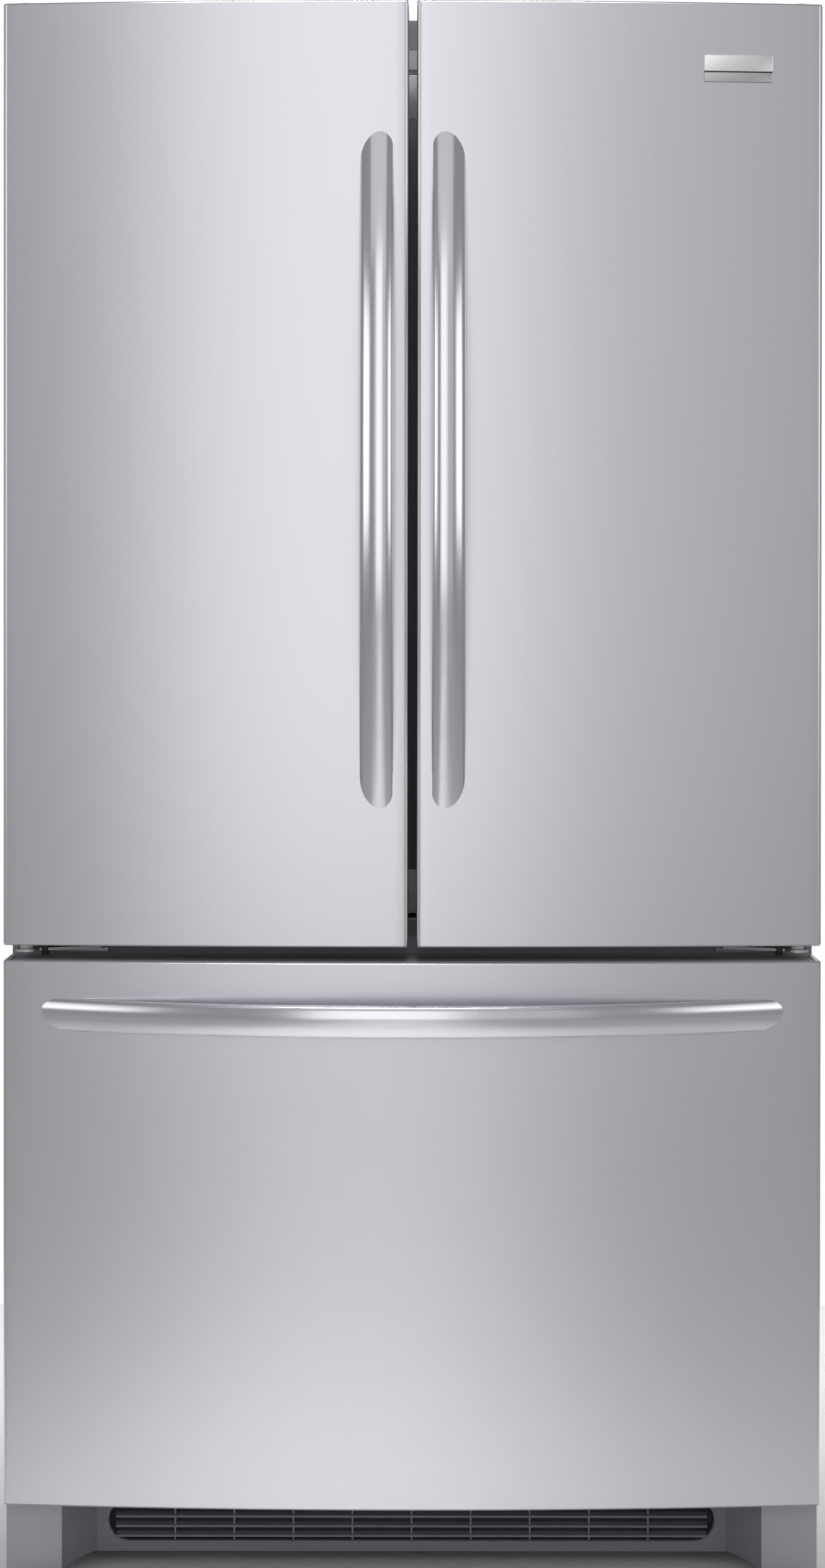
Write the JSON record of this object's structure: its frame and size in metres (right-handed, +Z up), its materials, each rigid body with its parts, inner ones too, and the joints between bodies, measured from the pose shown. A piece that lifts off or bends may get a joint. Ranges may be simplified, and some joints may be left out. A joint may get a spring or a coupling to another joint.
{
  "type": "french door refrigerator",
  "caption": "Stainless refrigerator with two bowed upper doors and arched handles over one full-width freezer drawer, with a fitted interior.",
  "frame": {"origin": "centre of the bounding box's base, on the floor between the feet and rollers", "axes": "+Z up, -Y out of the front doors, +X to the right as seen from the front"},
  "size_m": [0.908, 0.89, 1.765],
  "materials": {
    "steel_front": "satin",
    "cabinet_grey": "satin",
    "zinc_steel": "satin",
    "black_steel": "satin",
    "cap_grey": "matte",
    "white_liner": "gloss",
    "white_plastic": "satin",
    "clear_plastic": "gloss",
    "shelf_glass": "gloss",
    "foam": "matte",
    "gasket_grey": "matte",
    "grille_grey": "satin",
    "black_plastic": "satin",
    "coil_aluminium": "satin",
    "roller_nylon": "matte",
    "wire_white": "gloss"
  },
  "bodies": {
    "cabinet": {"cabinet_wrapper": "cabinet_grey", "rear_panel": "zinc_steel", "base_pan": "zinc_steel", "cabinet_foam": "foam", "fresh_liner": "white_liner", "freezer_liner": "white_liner", "mid_rail": "cabinet_grey", "hinge_plates": "zinc_steel", "hinge_covers": "cap_grey", "toe_grille": "grille_grey", "levelling_feet": "black_plastic", "light_panel": "clear_plastic", "air_duct": "white_plastic", "shelf_tracks": "zinc_steel", "shelf_frames": "white_plastic", "shelf_glass": "shelf_glass", "crisper_left": "clear_plastic", "crisper_right": "clear_plastic", "deli_drawer": "clear_plastic", "evaporator_cover": "white_plastic", "evaporator_coil": "coil_aluminium", "fan_motors": "black_plastic", "ice_maker": "white_plastic", "compressor": "black_steel", "condenser_coil": "black_steel", "machine_cover": "black_steel", "slide_rails": "zinc_steel", "flipper_guide": "cap_grey", "water_valve": "white_plastic", "cord_gland": "black_plastic"},
    "rollers": {"rear_rollers": "roller_nylon"},
    "evaporator_fan": {"evaporator_fan": "cap_grey"},
    "condenser_fan": {"condenser_fan": "cap_grey"},
    "left_door": {"left_skin": "steel_front", "left_caps": "cap_grey", "left_foam": "foam", "left_liner": "white_liner", "left_gasket": "gasket_grey", "left_handle": "steel_front", "left_bins": "clear_plastic"},
    "flipper": {"flipper_bar": "cap_grey"},
    "right_door": {"right_skin": "steel_front", "right_caps": "cap_grey", "right_foam": "foam", "right_liner": "white_liner", "right_gasket": "gasket_grey", "right_handle": "steel_front", "right_bins": "clear_plastic", "dairy_box": "clear_plastic"},
    "dairy_lid": {"dairy_lid": "clear_plastic"},
    "drawer": {"drawer_skin": "steel_front", "drawer_caps": "cap_grey", "drawer_foam": "foam", "drawer_liner": "white_liner", "drawer_gasket": "gasket_grey", "drawer_handle": "steel_front", "drawer_brackets": "zinc_steel", "lower_basket": "wire_white"},
    "slides": {"slide_middles": "zinc_steel"},
    "upper_basket": {"upper_basket": "white_plastic"}
  },
  "joints": [
    {"name": "left_door_hinge", "type": "hinge", "parent": "cabinet", "child": "left_door", "pos_m": [-0.432, -0.337, 1.2325], "axis": [0, 0, -1], "range_deg": [0, 130]},
    {"name": "right_door_hinge", "type": "hinge", "parent": "cabinet", "child": "right_door", "pos_m": [0.432, -0.337, 1.2325], "axis": [0, 0, 1], "range_deg": [0, 130]},
    {"name": "flipper_hinge", "type": "hinge", "parent": "left_door", "child": "flipper", "pos_m": [-0.03, -0.284, 1.215], "axis": [0, 0, 1], "range_deg": [0, 90]},
    {"name": "dairy_lid_hinge", "type": "hinge", "parent": "right_door", "child": "dairy_lid", "pos_m": [0.2185, -0.301, 1.5525], "axis": [1, 0, 0], "range_deg": [0, 80]},
    {"name": "drawer_slide", "type": "slide", "parent": "cabinet", "child": "drawer", "axis": [0, -1, 0], "range_m": [0, 0.45]},
    {"name": "middle_slide", "type": "slide", "parent": "cabinet", "child": "slides", "axis": [0, -1, 0], "range_m": [0, 0.225]},
    {"name": "upper_basket_slide", "type": "slide", "parent": "drawer", "child": "upper_basket", "axis": [0, 1, 0], "range_m": [0, 0.2]},
    {"name": "evaporator_fan_spin", "type": "hinge", "parent": "cabinet", "child": "evaporator_fan", "pos_m": [0, 0.366, 0.61], "axis": [0, 1, 0], "continuous": true},
    {"name": "condenser_fan_spin", "type": "hinge", "parent": "cabinet", "child": "condenser_fan", "pos_m": [0.086, 0.34, 0.15], "axis": [1, 0, 0], "continuous": true},
    {"name": "roller_spin", "type": "hinge", "parent": "cabinet", "child": "rollers", "pos_m": [0, 0.4, 0.022], "axis": [1, 0, 0], "continuous": true}
  ],
  "couplings": [
    {"joint": "middle_slide", "follows": "drawer_slide", "ratio": 0.5}
  ]
}
